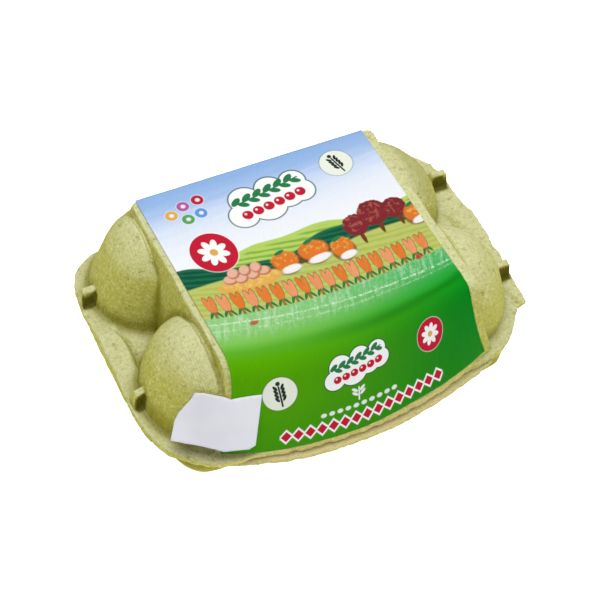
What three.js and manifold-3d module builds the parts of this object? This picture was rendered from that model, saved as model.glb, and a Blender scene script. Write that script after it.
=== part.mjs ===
// A shut six-egg carton of moulded pulp, with a paper label over its lid and a small
// blank sticker across the label's front corner.
// Millimetres, +Z up, the front towards -Y. The origin is on the ground below the
// middle of the box. Lid and tray are one moulding, joined by the hinge at the rear.

import * as THREE from 'three';
import { mergeVertices } from 'three/addons/utils/BufferGeometryUtils.js';
import Module from 'manifold-3d';

const wasm = await Module();
wasm.setup();

// Driving dimensions: the rim
const boxLength = 150;
const rimHeight = 33; // ground to the top of the lid's flange
const frontReach = 57.3; // middle of the box to the rim's front edge
const rearReach = 56.9;
const frontCorner = { along: 1.88, across: 3.79 }; // exponents of the rim's outline
const rearCorner = { along: 6.6, across: 6.7 };
const rimSkew = { alongY: 3.3 / 75, alongX: 1.4 / 50 }; // the rim is a little out of square
const boxShift = { x: -0.2, y: -2.1 }; // brings the skewed rim's box over the origin
const rimSegments = 144;

// Driving dimensions: the two flanges that meet at the rim
const lidFlange = 2.2;
const trayFlange = 1.8;
const seamGap = 0.6;
const seamDepth = 3;
const frontSetback = 3.5; // the lid's flange stops short of the rim's outline in front
const trayLip = 2; // and the tray's shows this much past it
const lidOverhang = 0.8; // how far the lid's flange passes the tray's at the ends
const frontSpan = { from: 0.62, to: 0.85 }; // where the front begins, as a sine
const hingeWidth = 118;
const hingeBulge = 1.2;

// Driving dimensions: the lid
const plateauHeight = 31.1; // above the flange
const plateauHalfWidth = 46.9;
const plateauShift = -3.2; // the lid leans a little to the left
const plateauRear = 43.2;
const rearCornerRadius = 2.5; // of the plateau, seen from above
const fold = { y: -33.7, tilt: -0.039, bow: 3 }; // where the top turns down in front
const panelInset = 3.8; // front panel's foot to the rim's edge
const panelFlare = { each: 7.2, curve: 1.8 }; // widening from the fold down to the foot
const rearFootInset = 5;
const sideSlope = 7; // rise over run of the plateau's sides
const edgeSoftness = { fold: 10, rear: 2.5, side: 1.5, dome: 1.5, crown: 1.5, flange: 5, pad: 0.8 };
const domes = [
  { x: -43.8, y: 30.1, rx: 25.7, ry: 21.8, height: 32.9 },
  { x: -51.1, y: -17.7, rx: 20.4, ry: 23.9, height: 30.3 },
  { x: 39, y: 31.2, rx: 29.8, ry: 25, height: 25 },
  { x: 43.8, y: -15.1, rx: 25.8, ry: 24.8, height: 29.1 },
];
const domeWall = { slope: 2.8, draft: 0.04 }; // the steepest that a dome's foot gets
const domeTuck = 3; // fall of a dome for each millimetre that it reaches under the plateau
const endPad = { x: 71, y: 6, halfLength: 5.5, halfWidth: 13, height: 2.2 };
const lug = { x: 70.4, width: 6, height: 6.1, top: 2.6, foot: 5.4, ys: [31.1, -16.1] };
const cornerTab = { reach: 3.6, width: 9, x: 69.4, y: -23.5, turn: -0.28 };

// Driving dimensions: the tray
const cellPitch = { x: 46.5, y: 47 };
const cellMiddle = { x: 0, y: 2.5 };
const footRadius = 7;
const cupRadius = 24;
const cupCurve = { wall: 1.4, floor: 0.8 }; // exponents of a cup's section
const webDepth = 9; // the tray's floor between the cups, below the rim
const webInset = 9;

// Driving dimensions: label and sticker
const paper = { gap: 0.45, label: 0.3, sticker: 0.3 };
const labelHalfWidth = 43.9; // on the plateau, with bare pulp each side of it
const labelShift = -4.1;
const labelRear = 0.8; // bare pulp behind the label
const labelFoot = 1.1; // label's lower edge to the panel's foot
const stickerCorners = [
  [-59.6, -31.9], [-49.7, -38.3], [-39.5, -40.3], [-44.9, -48.8], [-47.3, -48.9],
  [-54.9, -46], [-64.5, -38], [-68.9, -34.4], [-66.1, -31.2], [-64.6, -31.1],
];
const stickerSpan = { crease: 14, foot: 8 }; // how widely it bridges what lies below it
const stickerLoft = 0.6; // and how far it stands off, being stiff

// Fineness of the faceted surfaces
const pitch = { middle: 4.2, ends: 2, across: 2.4 };
const middleLines = 10; // grid lines each side of the middle that are middle pitch apart

const halfLength = boxLength / 2;

function smoothMax(a, b, softness) {
  const mix = THREE.MathUtils.clamp(0.5 + (0.5 * (a - b)) / softness, 0, 1);
  return b * (1 - mix) + a * mix + softness * mix * (1 - mix);
}

function smoothMin(a, b, softness) {
  return -smoothMax(-a, -b, softness);
}

function signedPower(value, power) {
  return Math.sign(value) * Math.abs(value) ** power;
}

// A point of the rim's outline, moved inwards by inset.
function rimPoint(angle, inset) {
  const across = Math.sin(angle);
  const corner = across > 0 ? rearCorner : frontCorner;
  const reach = across > 0 ? rearReach : frontReach;
  const x = signedPower(Math.cos(angle), 2 / corner.along) * (halfLength - inset);
  const y = signedPower(across, 2 / corner.across) * (reach - inset);
  return new THREE.Vector2(x + rimSkew.alongX * y, y + rimSkew.alongY * x);
}

// Y of the front panel's foot, which runs along the rim's front edge.
function panelFoot(x) {
  const along = Math.min(Math.abs(x) / (halfLength - panelInset), 0.999);
  const reach = (1 - along ** frontCorner.along) ** (1 / frontCorner.across);
  return rimSkew.alongY * x - (frontReach - panelInset) * reach;
}

function foldAt(x) {
  const off = x - plateauShift;
  return fold.y + fold.tilt * off - fold.bow * (1 - (off / plateauHalfWidth) ** 2);
}

// How far down the front panel a place is: 0 at the fold, 1 at the foot.
function panelFraction(x, y) {
  return (foldAt(x) - y) / (foldAt(x) - panelFoot(x));
}

// How much wider than the top the front panel is on each side, at a fraction down.
function flareAt(down) {
  return panelFlare.each * THREE.MathUtils.clamp(down, 0, 1) ** panelFlare.curve;
}

// How far a place lies outside the plateau's sides.
function besidePlateau(x, y) {
  return Math.abs(x - plateauShift) - plateauHalfWidth - flareAt(panelFraction(x, y));
}

// How far behind the plateau's rear edge a place is, with the rear corners rounded.
function behindPlateau(y, beside) {
  const radius = rearCornerRadius;
  const behind = y - plateauRear;
  if (beside < -radius || behind < -radius) return behind;
  return Math.hypot(beside + radius, behind + radius) - radius;
}

// The plateau without its sides: front panel, top and rear.
function plateauProfile(x, y, beside) {
  const front = plateauHeight * (1 - panelFraction(x, y));
  const rearRun = rearReach - rearFootInset - plateauRear;
  const rear = plateauHeight * (1 - behindPlateau(y, beside) / rearRun);
  const top = smoothMin(plateauHeight, front, edgeSoftness.fold);
  return smoothMin(top, rear, edgeSoftness.rear);
}

function plateauAt(x, y) {
  const beside = besidePlateau(x, y);
  const profile = plateauProfile(x, y, beside);
  return smoothMin(profile, profile - beside * sideSlope, edgeSoftness.side);
}

// The upper half of an ellipsoid, with a wall of even slope round its foot.
function domeAt(x, y, dome) {
  const spread = ((x - dome.x) / dome.rx) ** 2 + ((y - dome.y) / dome.ry) ** 2;
  const crown = dome.height * Math.sqrt(Math.max(1 - spread, 0));
  const wall = (1 + domeWall.draft - Math.sqrt(spread)) * dome.ry * domeWall.slope;
  return smoothMin(crown, wall, edgeSoftness.dome);
}

function padAt(x, y) {
  const spread = Math.max(
    Math.abs(Math.abs(x) - endPad.x) / endPad.halfLength,
    Math.abs(y - endPad.y) / endPad.halfWidth,
  );
  return endPad.height * (1 - Math.min(spread, 1.5) ** 4);
}

// Height of the lid's outer face above the top of its flange.
function lidAt(x, y, crease = edgeSoftness.dome, foot = edgeSoftness.flange) {
  let height = -halfLength;
  for (const dome of domes) {
    height = smoothMax(height, domeAt(x, y, dome), edgeSoftness.dome);
  }
  height = smoothMin(height, plateauHeight, edgeSoftness.crown);
  height -= Math.max(0, Math.min(-besidePlateau(x, y), plateauRear - y)) * domeTuck;
  height = smoothMax(0, height, foot);
  height = smoothMax(height, plateauAt(x, y), crease);
  return smoothMax(height, padAt(x, y), edgeSoftness.pad);
}

// Depth of the tray's outer face below the ground side of the lid's flange.
function trayAt(x, y) {
  const full = rimHeight;
  let depth = 0;
  for (const column of [-1, 0, 1]) {
    for (const row of [-0.5, 0.5]) {
      const dx = Math.abs(x - cellMiddle.x - column * cellPitch.x);
      const dy = Math.abs(y - cellMiddle.y - row * cellPitch.y);
      const away = Math.cbrt(dx ** 3 + dy ** 3);
      const wall = THREE.MathUtils.clamp((away - footRadius) / (cupRadius - footRadius), 0, 1);
      const cup = (1 - wall ** cupCurve.wall) ** cupCurve.floor;
      depth = smoothMax(depth, full * cup, 2);
    }
  }
  const edge = rimDistance(x, y);
  const web = webDepth * THREE.MathUtils.smoothstep(edge, webInset * 0.6, webInset * 1.6);
  return Math.min(smoothMax(depth, web, 3), full);
}

// Rough distance from a place to the rim's edge.
function rimDistance(x, y) {
  const reach = y > 0 ? rearReach : frontReach;
  const corner = y > 0 ? rearCorner : frontCorner;
  const spread = Math.abs(x / halfLength) ** corner.along + Math.abs(y / reach) ** corner.across;
  return Math.min(halfLength, reach) * (1 - spread ** (1 / corner.across));
}

// A closed mesh as a solid that can be joined and cut.
function toSolid(geometry) {
  const bare = geometry.clone();
  bare.deleteAttribute('normal');
  bare.deleteAttribute('uv');
  const merged = mergeVertices(bare, 1e-4);
  return new wasm.Manifold(new wasm.Mesh({
    numProp: 3,
    vertProperties: Float32Array.from(merged.attributes.position.array),
    triVerts: Uint32Array.from(merged.index.array),
  }));
}

function toGeometry(solid) {
  const mesh = solid.getMesh();
  const geometry = new THREE.BufferGeometry();
  geometry.setAttribute('position', new THREE.BufferAttribute(mesh.vertProperties, 3));
  geometry.setIndex(new THREE.BufferAttribute(mesh.triVerts, 1));
  geometry.computeVertexNormals();
  return geometry;
}

// X of a grid line: wide steps over the plateau, fine ones over the domes.
function gridX(line) {
  const wide = Math.min(Math.abs(line), middleLines);
  const fine = Math.abs(line) - wide;
  return Math.sign(line) * (wide * pitch.middle + fine * pitch.ends);
}

function gridLine(x) {
  const wide = middleLines * pitch.middle;
  if (Math.abs(x) <= wide) return x / pitch.middle;
  return Math.sign(x) * (middleLines + (Math.abs(x) - wide) / pitch.ends);
}

// A slab over the whole rim whose upper and lower faces follow two height functions.
function fieldSlab(upper, lower) {
  const cols = Math.ceil(gridLine(halfLength + 2)) * 2;
  const rows = Math.ceil((rearReach + 5) / pitch.across) * 2;
  const geometry = new THREE.BoxGeometry(cols, rows, 2, cols, rows, 1);
  const place = geometry.attributes.position;
  for (let i = 0; i < place.count; i += 1) {
    const x = gridX(place.getX(i));
    const y = place.getY(i) * pitch.across;
    place.setXYZ(i, x, y, place.getZ(i) > 0 ? upper(x, y) : lower(x, y));
  }
  return toSolid(geometry);
}

// An upright prism over an outline, from one height to another.
function prism(points, bottom, top) {
  const geometry = new THREE.ExtrudeGeometry(new THREE.Shape(points), {
    depth: top - bottom,
    bevelEnabled: false,
  });
  geometry.translate(0, 0, bottom);
  return toSolid(geometry);
}

function rimPrism(insetAt, bottom, top) {
  const points = [];
  for (let i = 0; i < rimSegments; i += 1) {
    const angle = (i * 2 * Math.PI) / rimSegments;
    points.push(rimPoint(angle, insetAt(angle)));
  }
  return prism(points, bottom, top);
}

// 1 along the front of the rim, 0 along its ends and rear.
function frontShare(angle) {
  return THREE.MathUtils.smoothstep(-Math.sin(angle), frontSpan.from, frontSpan.to);
}

function lidInset(angle) {
  return frontSetback * frontShare(angle);
}

// The tray's flange shows past the lid's in front and stays under it at the ends.
function trayInset(angle) {
  const front = frontShare(angle);
  const end = Math.cos(angle) ** 2;
  return lidInset(angle) + lidOverhang * end * (1 - front) - trayLip * front;
}

// Lid and tray as one body, with the seam cut in between their flanges.
function bodySolid() {
  const seamTop = rimHeight - lidFlange;
  const seamBottom = seamTop - seamGap;
  const under = seamBottom - trayFlange;
  const slab = fieldSlab(
    (x, y) => rimHeight + lidAt(x, y),
    (x, y) => Math.min(under, rimHeight - trayAt(x, y)),
  );
  const lidSide = rimPrism(lidInset, seamBottom, rimHeight + plateauHeight * 2);
  const traySide = rimPrism(trayInset, -1, seamBottom);
  const outside = rimPrism(() => -seamDepth, seamBottom, seamTop);
  const groove = (angle) => lidInset(angle) + seamDepth;
  const seam = outside.subtract(rimPrism(groove, seamBottom - 1, seamTop + 1));
  return slab.intersect(lidSide.add(traySide)).subtract(seam);
}

// The folded strip along the rear edge.
function hingeSolid() {
  const height = lidFlange + seamGap + trayFlange;
  const section = new THREE.Shape();
  section.moveTo(-seamDepth - 2, 0);
  section.lineTo(0, 0);
  section.absellipse(0, height / 2, hingeBulge, height / 2, -Math.PI / 2, Math.PI / 2);
  section.lineTo(-seamDepth - 2, height);
  const geometry = new THREE.ExtrudeGeometry(section, {
    depth: hingeWidth, bevelEnabled: false, curveSegments: 8,
  });
  geometry.rotateX(Math.PI / 2);
  geometry.rotateZ(Math.PI / 2);
  geometry.translate(-hingeWidth / 2, 0, 0);
  geometry.rotateZ(Math.atan(rimSkew.alongY));
  geometry.translate(rimSkew.alongX * rearReach, rearReach - hingeBulge / 2, rimHeight - height);
  return toSolid(geometry);
}

// One of the upright lugs on the end flanges: a steep front, a short top, a sloping back.
function lugSolid(side, y) {
  const section = new THREE.Shape();
  section.moveTo(0, -lidFlange / 2);
  section.lineTo(lug.foot, -lidFlange / 2);
  section.lineTo(lug.foot, 0);
  section.lineTo(lug.top, lug.height - 0.6);
  section.lineTo(lug.top - 0.6, lug.height);
  section.lineTo(0.5, lug.height);
  section.lineTo(0, lug.height - 0.5);
  const geometry = new THREE.ExtrudeGeometry(section, { depth: lug.width, bevelEnabled: false });
  geometry.rotateX(Math.PI / 2);
  geometry.rotateZ(Math.PI / 2);
  geometry.translate(side * lug.x - lug.width / 2, y, rimHeight);
  return toSolid(geometry);
}

// A torn point of pulp that stands out of the rim near its right front corner.
function cornerTabSolid() {
  const half = cornerTab.width / 2;
  const points = [
    new THREE.Vector2(-4, half), new THREE.Vector2(-4, -half),
    new THREE.Vector2(0, -half), new THREE.Vector2(cornerTab.reach, -half * 0.6),
    new THREE.Vector2(0, half),
  ];
  for (const point of points) {
    point.rotateAround(new THREE.Vector2(), cornerTab.turn);
    point.add(new THREE.Vector2(cornerTab.x, cornerTab.y));
  }
  return prism(points, rimHeight - lidFlange, rimHeight - 0.4);
}

function cartonGeometry() {
  let solid = bodySolid().add(hingeSolid()).add(cornerTabSolid());
  for (const side of [-1, 1]) {
    for (const y of lug.ys) solid = solid.add(lugSolid(side, y));
  }
  return toGeometry(solid);
}

// The direction straight out of a surface given as a height function.
function surfaceNormal(surface, x, y) {
  const step = 0.05;
  return new THREE.Vector3(
    (surface(x - step, y) - surface(x + step, y)) / (2 * step),
    (surface(x, y - step) - surface(x, y + step)) / (2 * step),
    1,
  ).normalize();
}

// A thin sheet lying on a height function, cut to an outline. Both faces are moved
// out along the surface's normal, so that the sheet is as thick on the slopes.
function sheetGeometry(points, surface, gap, thickness, skip) {
  const bounds = new THREE.Box2().setFromPoints(points);
  const first = Math.floor(gridLine(bounds.min.x) / skip) - 1;
  const cols = Math.ceil(gridLine(bounds.max.x) / skip) + 1 - first;
  const low = Math.floor(bounds.min.y / pitch.across) - 1;
  const rows = Math.ceil(bounds.max.y / pitch.across) + 1 - low;
  const geometry = new THREE.BoxGeometry(cols, rows, 2, cols, rows, 1);
  geometry.translate(first + cols / 2, low + rows / 2, 0);
  const place = geometry.attributes.position;
  for (let i = 0; i < place.count; i += 1) {
    const x = gridX(place.getX(i) * skip);
    const y = place.getY(i) * pitch.across;
    const lift = place.getZ(i) > 0 ? gap + thickness : gap;
    const out = surfaceNormal(surface, x, y).multiplyScalar(lift);
    place.setXYZ(i, x + out.x, y + out.y, rimHeight + surface(x, y) + out.z);
  }
  return toGeometry(toSolid(geometry).intersect(prism(points, 0, rimHeight * 3)));
}

// One side of the label, from its rear corner down to its corner at the foot.
function labelSidePoints(side) {
  const rear = plateauRear - labelRear;
  const points = [new THREE.Vector2(labelShift + side * labelHalfWidth, rear)];
  const steps = 6;
  for (let i = 0; i <= steps; i += 1) {
    const x = labelShift + side * (labelHalfWidth + flareAt(i / steps));
    const foot = panelFoot(x) + labelFoot;
    points.push(new THREE.Vector2(x, THREE.MathUtils.lerp(foldAt(x), foot, i / steps)));
  }
  return points;
}

function labelPoints() {
  const left = labelSidePoints(-1);
  const right = labelSidePoints(1);
  const from = left.at(-1).x;
  const to = right.at(-1).x;
  const steps = 16;
  const foot = [];
  for (let i = 1; i < steps; i += 1) {
    const x = THREE.MathUtils.lerp(from, to, i / steps);
    foot.push(new THREE.Vector2(x, panelFoot(x) + labelFoot));
  }
  return [...left, ...foot, ...right.reverse()];
}

function labelGeometry() {
  const surface = (x, y) => plateauProfile(x, y, -plateauHalfWidth);
  return sheetGeometry(labelPoints(), surface, paper.gap, paper.label, 2);
}

// The sticker spans the crease between plateau and dome instead of following it.
function stickerGeometry() {
  const points = stickerCorners.map(([x, y]) => new THREE.Vector2(x, y));
  const lift = paper.gap * 2 + paper.label + stickerLoft;
  const surface = (x, y) => lidAt(x, y, stickerSpan.crease, stickerSpan.foot);
  return sheetGeometry(points, surface, lift, paper.sticker, 1);
}

function makeMesh(name, geometry, color, roughness) {
  const material = new THREE.MeshStandardMaterial({ color, roughness, metalness: 0 });
  const mesh = new THREE.Mesh(geometry, material);
  mesh.name = name;
  return mesh;
}

const eggCarton = new THREE.Group();
eggCarton.position.set(boxShift.x, boxShift.y, 0);
eggCarton.add(makeMesh('carton', cartonGeometry(), 0xc4c47c, 0.95));
eggCarton.add(makeMesh('label', labelGeometry(), 0x4cab3a, 0.45));
eggCarton.add(makeMesh('sticker', stickerGeometry(), 0xd4d4dc, 0.6));

export default eggCarton;
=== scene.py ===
import math

import bpy
import numpy as np
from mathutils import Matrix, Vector
from mathutils.geometry import delaunay_2d_cdt


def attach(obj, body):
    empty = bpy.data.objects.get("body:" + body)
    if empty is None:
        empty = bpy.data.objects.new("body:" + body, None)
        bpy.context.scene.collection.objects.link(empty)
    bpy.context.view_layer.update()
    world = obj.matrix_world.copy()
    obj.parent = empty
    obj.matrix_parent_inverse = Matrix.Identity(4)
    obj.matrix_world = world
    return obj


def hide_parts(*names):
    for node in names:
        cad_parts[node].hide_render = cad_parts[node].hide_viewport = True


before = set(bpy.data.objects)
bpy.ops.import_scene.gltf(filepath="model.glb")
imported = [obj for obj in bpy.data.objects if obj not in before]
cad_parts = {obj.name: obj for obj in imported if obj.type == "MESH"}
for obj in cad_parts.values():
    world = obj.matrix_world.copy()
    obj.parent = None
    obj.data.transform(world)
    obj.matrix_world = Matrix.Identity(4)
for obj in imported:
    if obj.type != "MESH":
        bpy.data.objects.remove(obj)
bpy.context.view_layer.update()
print("frame loaded")

# Lengths below are millimetres, with z = 0 at the top of the lid's flange.
# toRow brings them into the row's frame, in metres.
shift = (-0.2, -2.1, 33.0)


def toRow(x, y, z):
    points = np.stack([x + shift[0], y + shift[1], z + shift[2]], axis=-1)
    return points.reshape(-1, 3) / 1000


# Camera and lights.

eye = {
    "place": (-220.638, -339.878, 504.976),
    "turn": (38.65118, -4.65266, -26.72022),
    "lens": 110.557, "sensor": 36,
    "nearClip": 0.02,  # metres
}
studio = {
    "world": 0.16,
    "aim": (0, 0, 20),
    "lamps": {
        "top": {"place": (-70, 60, 580), "size": (480, 380), "power": 3.4},
        "right": {"place": (520, -140, 320), "size": (300, 300), "power": 1.2},
        "front": {"place": (-240, -560, 460), "size": (460, 320), "power": 0.8},
    },
    "floorGlow": 0.9,
    "floorHalf": 6.0,  # metres
}


def addObject(name, data):
    made = bpy.data.objects.new(name, data)
    bpy.context.scene.collection.objects.link(made)
    return made


def placeCamera():
    data = bpy.data.cameras.new("eye")
    data.lens = eye["lens"]
    data.sensor_width = eye["sensor"]
    data.clip_start = eye["nearClip"]
    camera = addObject("eye", data)
    camera.location = toRow(*eye["place"])[0]
    camera.rotation_euler = [math.radians(a) for a in eye["turn"]]
    bpy.context.scene.camera = camera


def addLamp(name, spec):
    data = bpy.data.lights.new(name, "AREA")
    data.shape = "RECTANGLE"
    data.size, data.size_y = [s / 1000 for s in spec["size"]]
    data.energy = spec["power"]
    lamp = addObject(name, data)
    at = np.array(spec["place"]) / 1000
    aim = np.array(studio["aim"]) / 1000
    lamp.location = at
    away = (at - aim) / np.linalg.norm(at - aim)
    yaw = math.atan2(away[0], -away[1])
    lamp.rotation_euler = (math.acos(away[2]), 0, yaw)


placeCamera()
for lampName, lampSpec in studio["lamps"].items():
    addLamp(lampName, lampSpec)
scene = bpy.context.scene
scene.view_settings.view_transform = "Standard"
scene.view_settings.look = "None"
world = bpy.data.worlds.new("studio")
scene.world = world
world.use_nodes = True
background = world.node_tree.nodes["Background"]
background.inputs["Color"].default_value = (1, 1, 1, 1)
background.inputs["Strength"].default_value = studio["world"]
print("studio ready")


class Wire:
    # A socket of a material's tree that can be written with in plain sums.
    def __init__(self, tree, socket=None):
        self.tree = tree
        self.socket = socket

    def node(self, kind, settings=None, sockets=None, out=0):
        made = self.tree.nodes.new("ShaderNode" + kind)
        for key, value in (settings or {}).items():
            if key == "stops":
                fillRamp(made.color_ramp, value)
            else:
                setattr(made, key, value)
        for key, value in (sockets or {}).items():
            if isinstance(value, Wire):
                self.tree.links.new(value.socket, made.inputs[key])
            else:
                made.inputs[key].default_value = value
        return Wire(self.tree, made.outputs[out] if made.outputs else None)

    def maths(self, operation, *values):
        return self.node("Math", {"operation": operation}, dict(enumerate(values)))

    def __add__(self, other):
        return self.maths("ADD", self, other)

    __radd__ = __add__

    def __sub__(self, other):
        return self.maths("SUBTRACT", self, other)

    def __rsub__(self, other):
        return self.maths("SUBTRACT", other, self)

    def __mul__(self, other):
        return self.maths("MULTIPLY", self, other)

    __rmul__ = __mul__

    def __truediv__(self, other):
        return self.maths("DIVIDE", self, other)

    def __abs__(self):
        return self.maths("ABSOLUTE", self)

    def least(self, other):
        return self.maths("MINIMUM", self, other)

    def most(self, other):
        return self.maths("MAXIMUM", self, other)

    def sine(self):
        return self.maths("SINE", self)

    # One coordinate of a vector.
    def part(self, index):
        return self.node("SeparateXYZ", None, {0: self}, out=index)

    # 0 where the value is at or below low, 1 at or above high, smooth between.
    def rise(self, low, high):
        start, end = (1, 0) if low > high else (0, 1)
        return self.node(
            "MapRange",
            {"interpolation_type": "SMOOTHSTEP"},
            {"Value": self, "From Min": min(low, high), "From Max": max(low, high),
             "To Min": start, "To Max": end},
        )

    # The first colour, and the second where this mask is 1.
    def pick(self, first, second):
        return self.node("Mix", {"data_type": "RGBA"}, {0: self, 6: first, 7: second}, out=2)

    # This colour with others laid over it in turn, each given as (colour, mask).
    def under(self, layers):
        color = self
        for over, mask in layers:
            color = mask.pick(color, over)
        return color

    def ramp(self, *stops):
        return self.node("ValToRGB", {"stops": stops}, {0: self})

    def joined(self, y):
        return self.node("CombineXYZ", None, {0: self, 1: y})

    # The surface normal that this height gives, with its reach in metres.
    def bump(self, strength, reach):
        return self.node("Bump", None, {"Strength": strength, "Distance": reach, "Height": self})


def fillRamp(ramp, stops):
    while len(ramp.elements) > 1:
        ramp.elements.remove(ramp.elements[-1])
    ramp.elements[0].position = stops[0][0]
    ramp.elements[0].color = stops[0][1]
    for position, color in stops[1:]:
        ramp.elements.new(position).color = color


def tint(code):
    channels = [int(code[i:i + 2], 16) / 255 for i in (0, 2, 4)]
    linear = [c / 12.92 if c <= 0.04045 else ((c + 0.055) / 1.055) ** 2.4 for c in channels]
    return (*linear, 1)


def newMaterial(name):
    material = bpy.data.materials.new(name)
    material.use_nodes = True
    material.node_tree.nodes.clear()
    return material, Wire(material.node_tree)


# Puts a finished Principled surface on the material's output.
def finishMaterial(wires, sockets):
    shader = wires.node("BsdfPrincipled", None, sockets)
    wires.node("OutputMaterial", None, {"Surface": shader})


def grain(wires, where, scale, detail, rough):
    return wires.node("TexNoise", None, {
        "Vector": where, "Scale": scale, "Detail": detail, "Roughness": rough,
    })


# Noise and soft joins for the shapes.

noiseSize = 256
noiseTable = np.random.default_rng(6).random((noiseSize, noiseSize)) * 2 - 1


def noise(x, y, scale, seed):
    gx = x / scale + seed * 17.31
    gy = y / scale + seed * 9.17
    ix, iy = np.floor(gx).astype(int), np.floor(gy).astype(int)
    fx, fy = gx - ix, gy - iy
    fx, fy = fx * fx * (3 - 2 * fx), fy * fy * (3 - 2 * fy)
    ax, ay = ix % noiseSize, iy % noiseSize
    bx, by = (ix + 1) % noiseSize, (iy + 1) % noiseSize
    low = noiseTable[ax, ay] * (1 - fx) + noiseTable[bx, ay] * fx
    high = noiseTable[ax, by] * (1 - fx) + noiseTable[bx, by] * fx
    return low * (1 - fy) + high * fy


# Noises added up, each given as (mm, scale, seed).
def relief(x, y, layers):
    return sum(mm * noise(x, y, scale, seed) for mm, scale, seed in layers)


def softMax(a, b, softness):
    mix = np.clip(0.5 + 0.5 * (a - b) / softness, 0, 1)
    return b * (1 - mix) + a * mix + softness * mix * (1 - mix)


def softMin(a, b, softness):
    return -softMax(-a, -b, softness)


def ease(value, low, high):
    t = np.clip((value - low) / (high - low), 0, 1)
    return t * t * (3 - 2 * t)


# A soft ridge, or a groove where height is negative, along a line of points.
def strand(x, y, points, width, height):
    near = np.full(np.shape(x), 1e9)
    for (ax, ay), (bx, by) in zip(points[:-1], points[1:]):
        dx, dy = bx - ax, by - ay
        along = np.clip(((x - ax) * dx + (y - ay) * dy) / (dx * dx + dy * dy), 0, 1)
        near = np.minimum(near, np.hypot(x - ax - along * dx, y - ay - along * dy))
    return height * np.exp(-(near / width) ** 2)


# The carton's form.

farBelow = -75.0  # lower than any part of the lid
rim = {
    "halfLength": 75.0, "frontReach": 57.3, "rearReach": 56.9,
    "frontCorner": (1.88, 3.79), "rearCorner": (6.6, 6.7),
    "skewY": 3.3 / 75, "skewX": 1.4 / 50,
    "setback": 3.5, "frontSpan": (0.62, 0.85), "lip": 2.0, "overhang": 0.8,
    "lidDepth": 2.2, "depth": 4.6,  # how far down the lid's and the tray's edge end
    "hingeHalf": 58.0, "hingeBulge": 0.7,
    "tuck": (1.7, 219, 17),  # mm the tray's edge draws in, about these degrees, how widely
}
lid = {
    "height": 31.1, "halfWidth": 46.9, "across": -3.2, "rear": 43.2, "rearCorner": 2.5,
    "fold": -33.7, "foldTilt": -0.039, "foldBow": 3.0, "panelInset": 3.8,
    "flare": 7.2, "flareCurve": 1.8, "rearFoot": 5.0, "sideSlope": 7.0,
    "softFold": 10.0, "softRear": 2.5, "softSide": 1.3, "softDome": 1.6, "softFlange": 2.4,
    # (x, y, half width, half depth, height)
    "domes": (
        (-43.6, 31.0, 25.1, 22.6, 33.2), (-50.4, -17.7, 20.1, 23.9, 30.3),
        (37.7, 31.8, 28.4, 26.1, 25.8), (42.8, -15.1, 24.0, 24.8, 29.3),
    ),
    "domeSlope": 3.6, "domeDraft": 0.036, "domeTuck": 3.0,
    "grooveAt": 1.0, "grooveWide": 0.75, "grooveDeep": 1.6,
}
# An upright lug by each dome's foot, on the end flanges: (x, y, turn)
lug = {
    "places": (
        (-69.9, 30.4, -0.1), (-70.2, -16.0, 0.15), (70.4, 31.0, -0.05), (70.0, -15.9, 0.04),
    ),
    "half": 3.2, "height": 6.4, "top": 3.0, "back": 2.6, "reach": 1.5, "soft": 0.5,
    "frontSlope": 14, "outerSlope": 9, "innerSlope": 5, "topSlope": 0.12,
    "bend": 0.25, "rough": 0.3, "shade": 6.5,
}
# How far the rim strays outwards at places along its ends: (y, mm)
strayLeft = (
    (-46, -0.5), (-40, -0.5), (-30, -0.5), (-4, -0.4), (8, -0.4), (22, -0.5), (30, 0), (45, 0.3),
)
strayRight = (
    (-42, 0), (-38, -0.4), (-33, -1.0), (-29.6, -0.6), (-28.6, 0.6), (-27.2, 2.3), (-25.6, 1.8),
    (-23.6, 1.5), (-21, 0.6), (-18.7, 0.5), (-16, 0.1), (-8, 0.4), (0, -0.3), (8, 0.5), (20, 0),
    (30, -0.6), (38, -0.3), (44, -1.8), (52, -2.6),
)


# The rim's two exponents and its reach, behind its middle or before it.
def rimShape(behind):
    rear = (*rim["rearCorner"], rim["rearReach"])
    front = (*rim["frontCorner"], rim["frontReach"])
    return [np.where(behind, a, b) for a, b in zip(rear, front)]


def rimPoint(angle, inset):
    side, cosine = np.sin(angle), np.cos(angle)
    along, across, reach = rimShape(side > 0)
    x = np.sign(cosine) * np.abs(cosine) ** (2 / along) * (rim["halfLength"] - inset)
    y = np.sign(side) * np.abs(side) ** (2 / across) * (reach - inset)
    return x + rim["skewX"] * y, y + rim["skewY"] * x


def panelFoot(x):
    along = np.minimum(np.abs(x) / (rim["halfLength"] - lid["panelInset"]), 0.999)
    corner = rim["frontCorner"]
    reach = (1 - along ** corner[0]) ** (1 / corner[1])
    return rim["skewY"] * x - (rim["frontReach"] - lid["panelInset"]) * reach


def foldAt(x):
    off = x - lid["across"]
    bow = lid["foldBow"] * (1 - (off / lid["halfWidth"]) ** 2)
    return lid["fold"] + lid["foldTilt"] * off - bow


def flareAt(down):
    return lid["flare"] * np.clip(down, 0, 1) ** lid["flareCurve"]


def panelDown(x, y):
    return (foldAt(x) - y) / (foldAt(x) - panelFoot(x))


# The plateau without its sides: its top, front panel and rear. Beside is the distance
# outside its sides, which rounds the rear corners.
def plateauProfile(x, y, beside):
    front = lid["height"] * (1 - panelDown(x, y))
    run = rim["rearReach"] - lid["rearFoot"] - lid["rear"]
    radius = lid["rearCorner"]
    behind = y - lid["rear"]
    rounded = np.hypot(np.maximum(beside + radius, 0), np.maximum(behind + radius, 0)) - radius
    corner = (beside > -radius) & (behind > -radius)
    rear = lid["height"] * (1 - np.where(corner, rounded, behind) / run)
    return softMin(softMin(lid["height"], front, lid["softFold"]), rear, lid["softRear"])


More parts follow.
